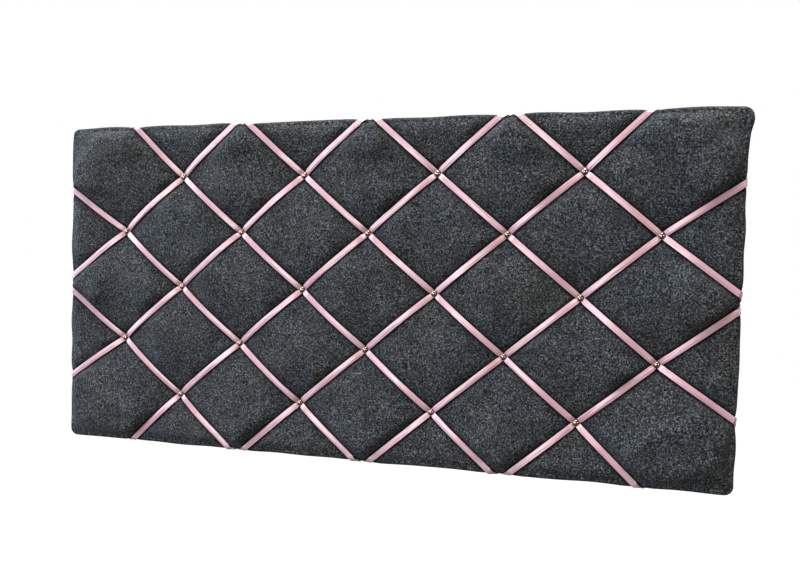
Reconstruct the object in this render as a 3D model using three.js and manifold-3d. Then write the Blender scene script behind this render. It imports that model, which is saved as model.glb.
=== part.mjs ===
// French memo board: a padded, felt-covered panel for a wall, crossed by satin ribbons that brass tacks
// hold down at every crossing, with a backing card and two swinging D-rings behind.
// Millimetres, +Z up, +X to the right of someone facing the board, -Y towards them.
// The origin is the middle of the backing card's rear face, which turns to the wall.

import * as THREE from 'three';
import { mergeVertices } from 'three/addons/utils/BufferGeometryUtils.js';
import Module from 'manifold-3d';

const wasm = await Module();
wasm.setup();

// Driving dimensions

const clearance = 0.3; // between pieces that lie against each other

// Board outline
const boardWidth = 748;
const boardHeight = 367;
const cornerRadius = 9; // of the outline, seen from the front
const frontEdgeRadius = 4;
const backEdgeRadius = 3;

// Layers
const panelThickness = 8;
const feltThickness = 2;
const padAtPins = 2; // wadding pressed flat under a tack
const padAtSides = 2; // wadding folded round the panel's edge
const cardThickness = 1.5;

// Tufting: the tacks stand on a lattice of diamonds, and the felt swells between them
const columnPitch = 75; // from one column of tacks to the next
const rowPitch = 62.5;
const columnsFromCentre = 4;
const rowsFromCentre = 2;
const archHeight = 7; // of the felt halfway between two tacks, above the felt under a tack
const crownSwell = 5; // by which the middle of a diamond swells besides
const tuftPower = 0.3; // the lower, the steeper the felt rises from a tack
const shoulderPart = 0.28; // share of the way between two tacks at which the felt has risen
const edgeRise = 6.5; // of the felt along the board's edge, above the felt under a tack
const edgeShoulder = 1; // by which the edge's round would stand above that
const edgeBlend = 45; // width of the band in which the tufting dies out

// Ribbons
const ribbonWidth = 6;
const ribbonThickness = 0.4;
const edgeDraw = 7.5; // from where two ribbons would meet on the edge to where each of them passes it
const cornerDraw = 13; // the same for the ribbons next to a corner, which pass alone
const tailLength = 29; // stapled behind the board

// Tacks
const tackHeadRadius = 3.3;
const tackHeadHeight = 2.2;
const tackSheet = 0.55; // metal of the hollow head
const shankRadius = 0.6;
const shankLength = 11; // below the head's rim
const shankPoint = 1.6;

// Back
const feltMargin = 55; // felt folded behind the panel
const cardInset = 46; // from the board's outline to the card
const cardCornerRadius = 6;

// D-ring hangers
const hangerInset = 124; // from the board's left and right edge
const ringDrop = 19.5; // from the board's top edge to the ring's bar
const wireRadius = 1.2;
const ringHalfWidth = 7.5; // to the middle of the wire
const ringReach = 13; // from the bar to the middle of the wire at the far end
const ringCornerRadius = 2.5;
const ringLean = 5; // degrees that the hanging ring leans out, on its strap
const strapWidth = 9;
const strapSheet = 1;
const loopClearance = 0.35;
const screwDrop = 19; // from the ring's bar to the screw
const strapBelowScrew = 5.5;
const screwHeadRadius = 3.2;
const screwHeadHeight = 2;
const screwShankRadius = 1.4;
const screwLength = 9; // below the head
const screwPoint = 2.5;

// Facets
const frontRoundSteps = 3; // of a rounded edge
const backRoundSteps = 2;
const cornerSteps = 2; // of the outline's corner
const tackSides = 10;
const wireSides = 8;
const screwSides = 8;
const boreSides = 5; // of a hole that a screw pierces in felt and panel
const farAway = 60; // a cutting tool reaches this far past what it cuts

// Levels, counted forwards from the card's rear face

const feltBack = cardThickness + clearance;
const panelBack = feltBack + feltThickness + clearance;
const panelFront = panelBack + panelThickness;
const pinLevel = panelFront + clearance + padAtPins + clearance + feltThickness;
const edgeLevel = pinLevel + edgeRise + edgeShoulder;
const frontLimit = pinLevel + 2 * (archHeight + crownSwell); // clear of every crown

const panelInset = feltThickness + clearance + padAtSides + clearance;
const panelWidth = boardWidth - 2 * panelInset;
const panelHeight = boardHeight - 2 * panelInset;

// Finishes

function finish(color, roughness, metalness) {
  return new THREE.MeshStandardMaterial({ color, roughness, metalness });
}

const feltGrey = finish(0x3b3d41, 0.95, 0);
const waddingWhite = finish(0xe9e7e1, 0.95, 0);
const fibreboard = finish(0xb08c62, 0.85, 0);
const satinPink = finish(0xf0b8c4, 0.4, 0);
const brass = finish(0xc9a468, 0.25, 1);
const greyCard = finish(0x8a8682, 0.9, 0);
const zincSteel = finish(0xc3c6c8, 0.35, 1);

// Solids: a geometry becomes a manifold for cutting and joining, and comes back as a geometry

function solid(geometry) {
  const bare = geometry.clone();
  bare.deleteAttribute('normal');
  bare.deleteAttribute('uv');
  const merged = mergeVertices(bare, 1e-4);
  return new wasm.Manifold(new wasm.Mesh({
    numProp: 3,
    vertProperties: new Float32Array(merged.attributes.position.array),
    triVerts: new Uint32Array(merged.index.array),
  }));
}

function geometryOf(body) {
  const mesh = body.getMesh();
  const geometry = new THREE.BufferGeometry();
  geometry.setAttribute('position', new THREE.BufferAttribute(new Float32Array(mesh.vertProperties), 3));
  geometry.setIndex(new THREE.BufferAttribute(new Uint32Array(mesh.triVerts), 1));
  geometry.computeVertexNormals();
  return geometry;
}

// A box between two x, two z and two forward levels.
function slab(xRange, zRange, fromLevel, toLevel) {
  const [x0, x1] = xRange;
  const [z0, z1] = zRange;
  const box = new THREE.BoxGeometry(x1 - x0, toLevel - fromLevel, z1 - z0);
  return box.translate((x0 + x1) / 2, -(fromLevel + toLevel) / 2, (z0 + z1) / 2);
}

// A closed loft through rings of equal point count, capped with fans at both ends.
function loft(rings) {
  const count = rings[0].length;
  const points = rings.flat();
  const index = [];
  for (let r = 0; r + 1 < rings.length; r++) {
    for (let k = 0; k < count; k++) {
      const a = r * count + k;
      const b = r * count + ((k + 1) % count);
      index.push(a, b, a + count, b, b + count, a + count);
    }
  }
  const last = (rings.length - 1) * count;
  for (let k = 1; k + 1 < count; k++) {
    index.push(0, k + 1, k);
    index.push(last, last + k, last + k + 1);
  }
  const geometry = new THREE.BufferGeometry().setFromPoints(points);
  return geometry.setIndex(index);
}

// The outline of a rectangle with round corners at one forward level, anticlockwise as seen from the front.
function outlineRing(halfWidth, halfHeight, radius, level) {
  const corners = [[1, 1], [-1, 1], [-1, -1], [1, -1]];
  return corners.flatMap(([sx, sz], quarter) => {
    const centre = [sx * (halfWidth - radius), sz * (halfHeight - radius)];
    return Array.from({ length: cornerSteps + 1 }, (_, k) => {
      const angle = (quarter + k / cornerSteps) * Math.PI / 2;
      const x = centre[0] + radius * Math.cos(angle);
      const z = centre[1] + radius * Math.sin(angle);
      return new THREE.Vector3(x, -level, z);
    });
  });
}

// Lattice

const onLattice = (i, j) => (i + j) % 2 !== 0;
const pins = [];
for (let j = rowsFromCentre; j >= -rowsFromCentre; j--) {
  for (let i = -columnsFromCentre; i <= columnsFromCentre; i++) {
    if (onLattice(i, j)) pins.push({ i, j, x: i * columnPitch, z: j * rowPitch });
  }
}

// Distance of a point on the front from the board's nearest edge.
const fromEdge = (x, z) => Math.min(boardWidth / 2 - Math.abs(x), boardHeight / 2 - Math.abs(z));

// Share of the tufting at a point of the front. It dies out towards the edge.
const tufting = (x, z) => THREE.MathUtils.smoothstep(fromEdge(x, z), 0, edgeBlend);

// Height of the felt above its level under a tack, without the swelling of the diamonds.
function tuftHeight(x, z) {
  const wave = 1 + Math.cos(Math.PI * x / columnPitch) * Math.cos(Math.PI * z / rowPitch);
  const tuft = archHeight * Math.max(wave, 0) ** tuftPower;
  return THREE.MathUtils.lerp(edgeRise, tuft, tufting(x, z));
}

// A tack presses the felt flat on a seat that takes its head and the ribbons bending up beside it.
const ribbonSpan = Math.hypot(columnPitch, rowPitch);
const tackHold = tackHeadRadius + 2 * clearance; // along a ribbon, to where it comes out under the head
const seatReach = tackHold + ribbonWidth / 2 * Math.max(columnPitch / rowPitch, rowPitch / columnPitch);
const seatPart = seatReach / ribbonSpan;

// The two directions of the ribbons as coordinates, counted from the middle, with tacks on odd numbers.
const alongRibbons = (x, z) => [x / columnPitch + z / rowPitch, x / columnPitch - z / rowPitch];

function latticePoint(u, v) {
  const [x, z] = [columnPitch * (u + v) / 2, rowPitch * (u - v) / 2];
  return { x, z, height: tuftHeight(x, z) };
}

function isPin(u, v) {
  return Math.abs(u + v) / 2 <= columnsFromCentre && Math.abs(u - v) / 2 <= rowsFromCentre;
}

// The facets of the diamond round a middle (even, even): a fan about its crown, and at each tack two slopes
// and a quarter of the seat.
function diamondFacets(u, v) {
  const corners = [[u + 1, v + 1], [u + 1, v - 1], [u - 1, v - 1], [u - 1, v + 1]];
  const between = (side, part) => {
    const [from, to] = [corners[side % 4], corners[(side + 1) % 4]];
    return latticePoint(...from.map((value, axis) => THREE.MathUtils.lerp(value, to[axis], part)));
  };
  const seat = (point) => ({ ...point, height: 0 });
  const crown = latticePoint(u, v);
  crown.height += crownSwell * tufting(crown.x, crown.z);
  const rim = [];
  const dimples = [];
  corners.forEach((corner, side) => {
    const before = between(side + 3, 1 - shoulderPart);
    const after = between(side, shoulderPart);
    rim.push(before);
    if (isPin(...corner)) {
      const [low, high] = [seat(between(side + 3, 1 - seatPart)), seat(between(side, seatPart))];
      dimples.push([before, low, after], [after, low, high], [low, seat(latticePoint(...corner)), high]);
    } else {
      rim.push(latticePoint(...corner));
    }
    rim.push(after);
  });
  const fan = rim.map((point, k) => [crown, point, rim[(k + 1) % rim.length]]);
  return [...fan, ...dimples];
}

// Height of the felt on its facets.
function facetHeight(x, z) {
  const point = new THREE.Vector3(x, 0, z);
  const flat = (corner) => new THREE.Vector3(corner.x, 0, corner.z);
  const [u, v] = alongRibbons(x, z).map((value) => 2 * Math.round(value / 2));
  const found = diamondFacets(u, v).map((facet) => {
    const shares = THREE.Triangle.getBarycoord(point, ...facet.map(flat), new THREE.Vector3());
    return { facet, shares, least: Math.min(shares.x, shares.y, shares.z) };
  });
  const { facet, shares } = found.reduce((best, one) => (one.least > best.least ? one : best));
  return facet[0].height * shares.x + facet[1].height * shares.y + facet[2].height * shares.z;
}

// A body whose front is the tufted felt and which narrows to a point far behind the board.
function tuftedBody(offset) {
  const [reach] = alongRibbons(boardWidth / 2, boardHeight / 2);
  const last = 2 * Math.ceil(reach / 2);
  const point = ({ x, z, height }) => new THREE.Vector3(x, -(pinLevel + height + offset), z);
  const behind = new THREE.Vector3(0, 4 * boardWidth, 0);
  const triangles = [];
  for (let u = -last; u <= last; u += 2) {
    for (let v = -last; v <= last; v += 2) triangles.push(...diamondFacets(u, v).flat().map(point));
  }
  const border = last + 1;
  const steps = [0, shoulderPart, 1 - shoulderPart, 1].map((part) => 2 * part);
  for (let start = -border; start < border; start += 2) {
    for (let k = 0; k + 1 < steps.length; k++) {
      const [from, to] = [start + steps[k], start + steps[k + 1]];
      const walls = [
        [from, border, to, border], [border, -from, border, -to],
        [-from, -border, -to, -border], [-border, from, -border, to],
      ];
      for (const [u0, v0, u1, v1] of walls) {
        triangles.push(point(latticePoint(u1, v1)), point(latticePoint(u0, v0)), behind);
      }
    }
  }
  return new THREE.BufferGeometry().setFromPoints(triangles);
}

// The edges' rounds, as insets from the outline and forward levels. The front one goes on to a slope that
// stays above every crown.
const leastRadius = 0.2;

function roundSection(radius, steps, level, way) {
  return Array.from({ length: steps + 1 }, (_, k) => {
    const angle = k / steps * Math.PI / 2;
    const inset = radius * (1 - Math.cos(angle));
    return { inset, level: level + way * radius * Math.sin(angle), angle: way * angle };
  });
}

function frontSection(offset) {
  const radius = Math.max(frontEdgeRadius + offset, leastRadius);
  const round = roundSection(radius, frontRoundSteps, edgeLevel + offset - radius, 1);
  return [...round, { inset: edgeBlend, level: frontLimit + offset }];
}

function backSection(offset) {
  const radius = Math.max(backEdgeRadius + offset, leastRadius);
  return roundSection(radius, backRoundSteps, feltBack - offset + radius, -1);
}

// The board's outer form, moved outwards by an offset: round edges, flat sides, and room for the tufting.
function roundedForm(offset) {
  const sections = [...backSection(offset).reverse(), ...frontSection(offset)];
  return loft(sections.map(({ inset, level }) => outlineRing(
    boardWidth / 2 + offset - inset,
    boardHeight / 2 + offset - inset,
    Math.max(cornerRadius + offset - inset, leastRadius),
    level,
  )));
}

// Forward level of the felt's front: the tufting, or the edge's round where that is lower.
function feltLevel(x, z) {
  const inset = fromEdge(x, z);
  const section = frontSection(0);
  const next = section.findIndex((point) => point.inset > inset);
  const tufted = pinLevel + facetHeight(x, z);
  if (next < 1) return tufted;
  const [low, high] = [section[next - 1], section[next]];
  const round = THREE.MathUtils.mapLinear(inset, low.inset, high.inset, low.level, high.level);
  return Math.min(tufted, round);
}

const boardForm = (offset) => solid(roundedForm(offset)).intersect(solid(tuftedBody(offset)));

// Tack

// Ribbons lie one clearance off the felt. The upper set passes the lower one with the same clearance at
// tacks and edges, and a tack's rim rides on it.
const ribbonStep = ribbonThickness + clearance;
const lowerOffsets = { span: clearance, tack: clearance, edge: clearance };
const upperOffsets = { span: clearance, tack: clearance + ribbonStep, edge: clearance + ribbonStep };
const rimLevel = pinLevel + upperOffsets.tack + ribbonStep;

function tackProfile() {
  const domeSteps = 3;
  const inner = tackHeadRadius - tackSheet;
  const roof = tackHeadHeight - tackSheet;
  const points = [new THREE.Vector2(0, -shankLength)];
  points.push(new THREE.Vector2(shankRadius, shankPoint - shankLength));
  const shoulder = Math.acos(shankRadius / inner);
  for (let k = 0; k <= 2; k++) {
    const angle = shoulder * (1 - k / 2);
    points.push(new THREE.Vector2(inner * Math.cos(angle), roof * Math.sin(angle)));
  }
  for (let k = 0; k < domeSteps; k++) {
    const angle = k / domeSteps * Math.PI / 2;
    points.push(new THREE.Vector2(tackHeadRadius * Math.cos(angle), tackHeadHeight * Math.sin(angle)));
  }
  points.push(new THREE.Vector2(0, tackHeadHeight));
  return points;
}

// Turns a lathe's +Y to the front.
const facingFront = (geometry) => geometry.rotateX(Math.PI);

const tackGeometry = facingFront(new THREE.LatheGeometry(tackProfile(), tackSides));

// Bores for the tacks through ribbons, felt and wadding, and into the panel.
const tackTip = rimLevel - shankLength;
const boreDepth = tackTip - clearance;
const boreScale = 2 * (shankRadius + clearance) / Math.min(columnPitch, rowPitch);
const tackBore = new THREE.BoxGeometry(columnPitch * boreScale, farAway, rowPitch * boreScale);
const tackBores = pins
  .map(({ x, z }) => solid(tackBore.clone().translate(x, -(boreDepth + farAway / 2), z)))
  .reduce((all, one) => all.add(one));

// Hanger: a strap folded round the bar of a D-ring, held by one screw

const barHeight = boardHeight / 2 - ringDrop;
const hangerSeat = feltBack - clearance; // forward level of the strap's underside
const loopInner = wireRadius + loopClearance;
const loopOuter = loopInner + strapSheet;
const barLevel = hangerSeat - loopOuter;
const strapTop = hangerSeat - 2 * strapSheet;
const screwSeat = strapTop - clearance;
const screwHeight = barHeight - screwDrop;
const hangers = [
  { side: 'left', x: hangerInset - boardWidth / 2 },
  { side: 'right', x: boardWidth / 2 - hangerInset },
];

// The strap's section: along the strap, downwards from the bar, and away from the board.
function strapSection() {
  const length = screwDrop + strapBelowScrew;
  const folded = 2 * strapSheet;
  const meet = Math.asin((folded - loopOuter) / loopOuter);
  const section = new THREE.Shape();
  section.moveTo(length, 0);
  section.lineTo(length, folded);
  section.absarc(0, loopOuter, loopOuter, meet, 1.5 * Math.PI, false);
  section.lineTo(length, 0);
  section.holes.push(new THREE.Path().absarc(0, loopOuter, loopInner, 0, 2 * Math.PI, true));
  return section;
}

// The strap's plan: as wide as it is, with a round end below the screw.
function strapPlan() {
  const half = strapWidth / 2;
  const straight = screwDrop + strapBelowScrew - half;
  const plan = new THREE.Shape();
  plan.moveTo(half, loopOuter + clearance);
  plan.lineTo(-half, loopOuter + clearance);
  plan.lineTo(-half, -straight);
  plan.absarc(0, -straight, half, Math.PI, 2 * Math.PI, false);
  plan.lineTo(half, loopOuter + clearance);
  return plan;
}

function strapGeometry() {
  const extrusion = (depth) => ({ depth, bevelEnabled: false, curveSegments: 8 });
  const folded = new THREE.ExtrudeGeometry(strapSection(), extrusion(strapWidth));
  // The section's first axis runs down, its second away from the board, and its depth across the strap.
  const turn = new THREE.Matrix4().makeBasis(
    new THREE.Vector3(0, 0, -1), new THREE.Vector3(0, 1, 0), new THREE.Vector3(1, 0, 0),
  );
  folded.applyMatrix4(turn).translate(-strapWidth / 2, -hangerSeat, barHeight);
  const plan = new THREE.ExtrudeGeometry(strapPlan(), extrusion(farAway));
  plan.rotateX(Math.PI / 2).translate(0, farAway / 2, barHeight);
  const bore = screwBore(-farAway, farAway, screwSides);
  return geometryOf(solid(folded).intersect(solid(plan)).subtract(bore));
}

function screwBore(fromLevel, toLevel, sides) {
  const radius = (screwShankRadius + clearance) / Math.cos(Math.PI / sides);
  const bore = new THREE.CylinderGeometry(radius, radius, toLevel - fromLevel, sides);
  return solid(bore.translate(0, -(fromLevel + toLevel) / 2, screwHeight));
}

const screwTip = screwSeat + screwLength;
const screwBores = hangers
  .map(({ x }) => screwBore(-farAway, screwTip + clearance, boreSides).translate([x, 0, 0]))
  .reduce((all, one) => all.add(one));

// A tube whose middle line is a closed path in the XZ plane.
function closedTube(path, radius, sides) {
  const points = [];
  const index = [];
  const normal = new THREE.Vector3(0, 1, 0);
  path.forEach((point, k) => {
    const before = path[(k + path.length - 1) % path.length];
    const after = path[(k + 1) % path.length];
    const tangent = after.clone().sub(before).normalize();
    const outward = tangent.clone().cross(normal);
    const [into, out] = [point.clone().sub(before).normalize(), after.clone().sub(point).normalize()];
    const mitre = 1 / Math.cos(into.angleTo(out) / 2);
    for (let s = 0; s < sides; s++) {
      const angle = (s + 0.5) / sides * 2 * Math.PI;
      const side = outward.clone().multiplyScalar(radius * mitre * Math.cos(angle));
      points.push(point.clone().add(side).addScaledVector(normal, radius * Math.sin(angle)));
      const a = k * sides + s;
      const b = k * sides + (s + 1) % sides;
      const c = ((k + 1) % path.length) * sides + s;
      const d = ((k + 1) % path.length) * sides + (s + 1) % sides;
      index.push(a, c, b, b, c, d);
    }
  });
  return new THREE.BufferGeometry().setFromPoints(points).setIndex(index);
}

// The D-ring, hanging from its bar, which lies on the X axis.
function ringPath() {
  const path = [];
  const arc = (cx, cz, radius, from, to, steps) => {
    for (let k = 0; k <= steps; k++) {
      const angle = THREE.MathUtils.degToRad(from + (to - from) * k / steps);
      path.push(new THREE.Vector3(cx + radius * Math.cos(angle), 0, cz + radius * Math.sin(angle)));
    }
  };
  const corner = ringHalfWidth - ringCornerRadius;
  arc(corner, -ringCornerRadius, ringCornerRadius, 90, 0, 3);
  arc(0, ringHalfWidth - ringReach, ringHalfWidth, 0, -180, 8);
  arc(-corner, -ringCornerRadius, ringCornerRadius, 180, 90, 3);
  return path;
}

function screwProfile() {
  const domeSteps = 3;
  const points = [new THREE.Vector2(0, screwLength)];
  points.push(new THREE.Vector2(screwShankRadius, screwLength - screwPoint));
  points.push(new THREE.Vector2(screwShankRadius, 0));
  for (let k = 0; k < domeSteps; k++) {
    const angle = k / domeSteps * Math.PI / 2;
    points.push(new THREE.Vector2(screwHeadRadius * Math.cos(angle), -screwHeadHeight * Math.sin(angle)));
  }
  points.push(new THREE.Vector2(0, -screwHeadHeight));
  return points.reverse();
}

function cardOutline() {
  const right = boardWidth / 2 - cardInset - cardCornerRadius;
  const top = boardHeight / 2 - cardInset - cardCornerRadius;
  const quarter = Math.PI / 2;
  const outline = new THREE.Shape();
  outline.absarc(right, top, cardCornerRadius, 0, quarter, false);
  outline.absarc(-right, top, cardCornerRadius, quarter, 2 * quarter, false);
  outline.absarc(-right, -top, cardCornerRadius, 2 * quarter, 3 * quarter, false);
  outline.absarc(right, -top, cardCornerRadius, 3 * quarter, 4 * quarter, false);
  return outline.closePath();
}

// Ribbons: each is a strip of stations across it, with two points on the felt, left and right, and the
// direction in which it stands off the felt there.

const plan = ({ x, z }) => new THREE.Vector2(x, z);
const towardsFront = new THREE.Vector3(0, -1, 0);
const leftOf = (course) => new THREE.Vector2(-course.y, course.x).multiplyScalar(ribbonWidth / 2);

function station(middle, aside, level, out, offset) {
  const across = [-1, 1].map((side) => {
    const at = middle.clone().addScaledVector(aside, side);
    return new THREE.Vector3(at.x, -level, at.y);
  });
  return { across, out, offset };
}

// Forward level on which a strip lies: the highest felt across its width.
function levelUnder(middle, aside) {
  return Math.max(...[-1, -0.5, 0, 0.5, 1].map((side) => {
    const at = middle.clone().addScaledVector(aside, side);
    return feltLevel(at.x, at.y);
  }));
}

// What a taut strip touches: the points of a course that no line between two others passes above, or
// just below.
function upperHull(points) {
  const slack = clearance / 8;
  const hull = [];
  for (const point of points) {
    const sags = () => {
      const [a, b] = hull.slice(-2);
      return b.level - slack < THREE.MathUtils.mapLinear(b.run, a.run, point.run, a.level, point.level);
    };
    while (hull.length > 1 && sags()) hull.pop();
    hull.push(point);
  }
  return hull;
}

// A strip drawn tight over the felt's front from a tack, to another tack or to where the edge's round
// begins, which is left to the stations there.
function tautStations(start, course, length, offsets, endLevel) {
  const samples = 60;
  const aside = leftOf(course.clone().normalize());
  const hold = tackHold / course.length();
  const endsAtTack = endLevel === undefined;
  const point = (run, level) => ({ run, level, middle: start.clone().addScaledVector(course, run) });
  const first = point(hold, pinLevel);
  const last = endsAtTack ? point(length - hold, pinLevel) : point(length, endLevel);
  const profile = Array.from({ length: samples }, (_, k) => {
    const { run, middle } = point(THREE.MathUtils.lerp(first.run, last.run, (k + 1) / (samples + 1)));
    return point(run, levelUnder(middle, aside));
  });
  const taut = upperHull([first, ...profile, last]);
  const kept = endsAtTack ? taut : taut.slice(0, -1);
  return kept.map((at) => {
    const offset = at === first || at === last ? offsets.tack : offsets.span;
    return station(at.middle, aside, at.level, towardsFront, offset);
  });
}

// From the last tack over the edge: across the rest of the front, round the edge and side, and in again
// behind. The ribbon lies as a straight strip would, so it keeps its angle to the edge where it turns.
function endStations(pin, stepX, stepZ, offsets) {
  const [i, j] = [pin.i + stepX, pin.j + stepZ];
  const overSide = Math.abs(i * columnPitch) / boardWidth > Math.abs(j * rowPitch) / boardHeight;
  const alone = Math.abs(i) + Math.abs(j) > columnsFromCentre + rowsFromCentre;
  const draw = alone ? cornerDraw : edgeDraw;
  const edge = overSide
    ? new THREE.Vector2(stepX * boardWidth / 2, j * rowPitch - stepZ * draw)
    : new THREE.Vector2(i * columnPitch - stepX * draw, stepZ * boardHeight / 2);
  const outward = overSide ? new THREE.Vector2(stepX, 0) : new THREE.Vector2(0, stepZ);
  const alongEdge = overSide ? new THREE.Vector2(0, stepZ) : new THREE.Vector2(stepX, 0);

  const front = frontSection(0).slice(0, frontRoundSteps).reverse();
  const tail = { inset: backEdgeRadius + tailLength, level: feltBack, angle: -Math.PI / 2 };
  const section = [...front, ...backSection(0), tail];
  const lengths = section.map((point, k) => {
    const before = section[Math.max(k - 1, 0)];
    return Math.hypot(point.inset - before.inset, point.level - before.level);
  });
  const roundLength = lengths.slice(0, front.length).reduce((sum, length) => sum + length);

  const start = plan(pin);
  const drift = edge.clone().sub(start).dot(alongEdge);
  const flatRun = edge.clone().sub(start).dot(outward) - front[0].inset;
  const slope = drift / (flatRun + roundLength);
  const course = outward.clone().addScaledVector(alongEdge, slope);
  const way = Math.sign(leftOf(course).dot(alongEdge));
  const slant = alongEdge.clone().multiplyScalar(way * ribbonWidth / 2 * course.length());

  const flat = tautStations(start, course, flatRun, offsets, front[0].level);

  let travelled = flatRun;
  const round = section.map(({ inset, level, angle }, k) => {
    travelled += lengths[k];
    const aside = slope * travelled - drift;
    const middle = edge.clone().addScaledVector(outward, -inset).addScaledVector(alongEdge, aside);
    const away = outward.clone().multiplyScalar(Math.cos(angle));
    return station(middle, slant, level, new THREE.Vector3(away.x, -Math.sin(angle), away.y), offsets.edge);
  });
  return [...flat, ...round];
}

// From tack to tack.
function spanStations(line, stepZ, offsets) {
  const course = new THREE.Vector2(columnPitch, stepZ * rowPitch).normalize();
  return line.slice(0, -1).flatMap((pin) => tautStations(plan(pin), course, ribbonSpan, offsets));
}

// Turns the stations of an end round, so that they run towards the middle.
const turned = (stations) => stations.toReversed().map(
  ({ across, out, offset }) => ({ across: across.toReversed(), out, offset }),
);

function ribbonBody(line, stepZ, offsets) {
  const stations = [
    ...turned(endStations(line[0], -1, -stepZ, offsets)),
    ...spanStations(line, stepZ, offsets),
    ...endStations(line.at(-1), 1, stepZ, offsets),
  ];
  const rings = stations.map(({ across: [right, left], out, offset }) => {
    const off = (point, height) => point.clone().addScaledVector(out, height);
    const top = offset + ribbonThickness;
    return [off(right, offset), off(left, offset), off(left, top), off(right, top)];
  });
  return solid(loft(rings)).subtract(tackBores);
}

// Assembly

const board = new THREE.Group();
board.name = 'memo_board';

function addPiece(name, geometry, material, parent = board) {
  const mesh = new THREE.Mesh(geometry, material);
  mesh.name = name;
  parent.add(mesh);
  return mesh;
}

// Fibreboard panel that carries everything, with blind bores for tacks and screws.
const panelSize = [[-panelWidth / 2, panelWidth / 2], [-panelHeight / 2, panelHeight / 2]];
const panel = solid(slab(...panelSize, panelBack, panelFront)).subtract(tackBores).subtract(screwBores);
addPiece('fibreboard_panel', geometryOf(panel), fibreboard);

// Wadding over the panel's front and round its edges.
const panelRoom = slab(
  panelSize[0].map((x) => x + Math.sign(x) * clearance),
  panelSize[1].map((z) => z + Math.sign(z) * clearance),
  -farAway,
  panelFront + clearance,
);
const behindPanel = slab(
  [-boardWidth, boardWidth], [-boardHeight, boardHeight], -farAway, panelBack,
);
const wadding = boardForm(-feltThickness - clearance)
  .subtract(solid(panelRoom)).subtract(solid(behindPanel)).subtract(tackBores);
addPiece('wadding_pad', geometryOf(wadding), waddingWhite);

// Felt drawn over the wadding and folded behind the panel.
const feltOpening = slab(
  [feltMargin - boardWidth / 2, boardWidth / 2 - feltMargin],
  [feltMargin - boardHeight / 2, boardHeight / 2 - feltMargin],
  -farAway,
  panelBack,
);
const felt = boardForm(0).subtract(boardForm(-feltThickness))
  .subtract(solid(feltOpening)).subtract(tackBores).subtract(screwBores);
addPiece('felt_cover', geometryOf(felt), feltGrey);

// Ribbons: the rising set lies on the felt, and the falling set passes over it at tacks and edges.
const ribbonSets = [
  { name: 'rising', stepZ: 1, offsets: lowerOffsets },
  { name: 'falling', stepZ: -1, offsets: upperOffsets },
];
for (const { name, stepZ, offsets } of ribbonSets) {
  const lines = new Map();
  for (const pin of pins) {
    const key = pin.i - stepZ * pin.j;
    lines.set(key, [...(lines.get(key) ?? []), pin]);
  }
  [...lines.keys()].sort((a, b) => a - b).forEach((key, k) => {
    const line = lines.get(key).sort((a, b) => a.i - b.i);
    addPiece(`ribbon_${name}_${k + 1}`, geometryOf(ribbonBody(line, stepZ, offsets)), satinPink);
  });
}

// Tacks, one at every crossing.
for (const { i, j, x, z } of pins) {
  const row = rowsFromCentre - j + 1;
  const place = columnsFromCentre + i + 1;
  addPiece(`tack_row${row}_col${place}`, tackGeometry, brass).position.set(x, -rimLevel, z);
}

// Backing card over the felt's raw edge.
const cardDepth = { depth: cardThickness, bevelEnabled: false, curveSegments: 3 };
const card = new THREE.ExtrudeGeometry(cardOutline(), cardDepth).rotateX(Math.PI / 2);
addPiece('backing_card', card, greyCard);

// Hangers, left and right as seen from the front.
const strap = strapGeometry();
const ringTube = closedTube(ringPath(), wireRadius, wireSides);
const screw = new THREE.LatheGeometry(screwProfile(), screwSides).rotateX(Math.PI);
for (const { side, x } of hangers) {
  addPiece(`hanger_strap_${side}`, strap, zincSteel).position.set(x, 0, 0);
  addPiece(`hanger_screw_${side}`, screw, zincSteel).position.set(x, -screwSeat, screwHeight);
  const swing = new THREE.Group();
  swing.position.set(x, -barLevel, barHeight);
  swing.rotation.x = THREE.MathUtils.degToRad(ringLean);
  board.add(swing);
  addPiece(`hanger_ring_${side}`, ringTube, zincSteel, swing);
}

export default board;
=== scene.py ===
import math

import bpy
import numpy as np
from mathutils import Matrix, Vector


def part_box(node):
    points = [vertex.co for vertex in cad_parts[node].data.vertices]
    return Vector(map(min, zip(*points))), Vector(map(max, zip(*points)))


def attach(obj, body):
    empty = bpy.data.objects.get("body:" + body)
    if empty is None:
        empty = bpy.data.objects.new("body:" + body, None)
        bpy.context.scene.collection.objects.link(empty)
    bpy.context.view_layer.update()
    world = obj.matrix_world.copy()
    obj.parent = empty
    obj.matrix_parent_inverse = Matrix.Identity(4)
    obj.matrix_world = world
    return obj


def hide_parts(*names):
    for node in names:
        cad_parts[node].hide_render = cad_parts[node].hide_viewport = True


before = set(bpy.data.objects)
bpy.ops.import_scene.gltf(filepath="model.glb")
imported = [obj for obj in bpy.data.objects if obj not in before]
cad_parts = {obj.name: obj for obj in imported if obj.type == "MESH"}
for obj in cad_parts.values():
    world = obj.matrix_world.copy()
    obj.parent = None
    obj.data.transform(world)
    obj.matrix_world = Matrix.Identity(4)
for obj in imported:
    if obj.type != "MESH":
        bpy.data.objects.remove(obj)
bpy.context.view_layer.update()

# Sizes in metres. A level is counted forwards, along -Y, from the backing card's wall side.


def box_of(node):
    return [Vector(corner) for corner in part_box(node)]


felt_low, felt_high = box_of("felt_cover")
HALF_WIDTH = (felt_high.x - felt_low.x) / 2
HALF_HEIGHT = (felt_high.z - felt_low.z) / 2
FELT_BACK = -felt_high.y
PANEL_FRONT = -box_of("fibreboard_panel")[0].y

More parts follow.
